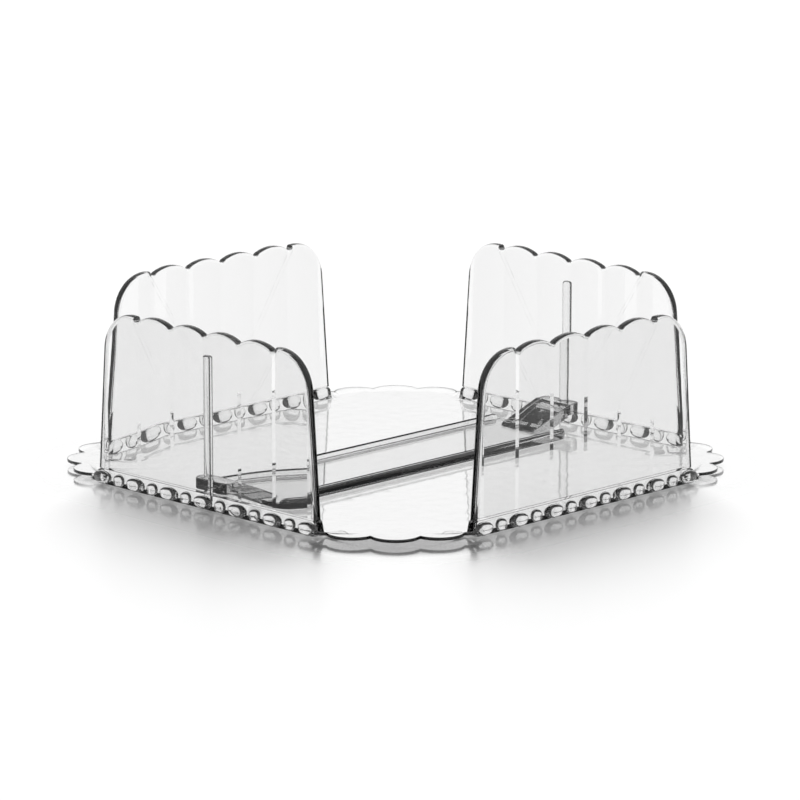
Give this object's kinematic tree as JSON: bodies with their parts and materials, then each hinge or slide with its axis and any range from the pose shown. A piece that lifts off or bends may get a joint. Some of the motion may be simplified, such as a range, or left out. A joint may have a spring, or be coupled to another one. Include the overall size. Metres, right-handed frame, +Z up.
{
  "type": "napkin holder",
  "caption": "Flat square napkin holder in clear plastic: a scalloped tray, upright fluted walls with open corners, and a press bar that slides on guide rods.",
  "frame": {"origin": "centre of the holder's footprint, on the surface that the tray stands on", "axes": "+Z up; +X along the press bar towards the right wall; +Y towards the back wall"},
  "size_m": [0.183, 0.183, 0.0604],
  "materials": {
    "clear_tray": "clear, polished",
    "clear_wall": "clear, polished, moulded flutes",
    "clear_rod": "clear, polished",
    "clear_bar": "clear, polished"
  },
  "bodies": {
    "base": {"tray": "clear_tray", "wall_left": "clear_wall", "wall_right": "clear_wall", "wall_front": "clear_wall", "wall_back": "clear_wall", "guide_rod_left": "clear_rod", "guide_rod_right": "clear_rod"},
    "bar": {"press_bar": "clear_bar"}
  },
  "joints": [
    {"name": "bar_lift", "type": "slide", "parent": "base", "child": "bar", "axis": [0, 0, 1], "range_m": [0, 0.066]}
  ]
}
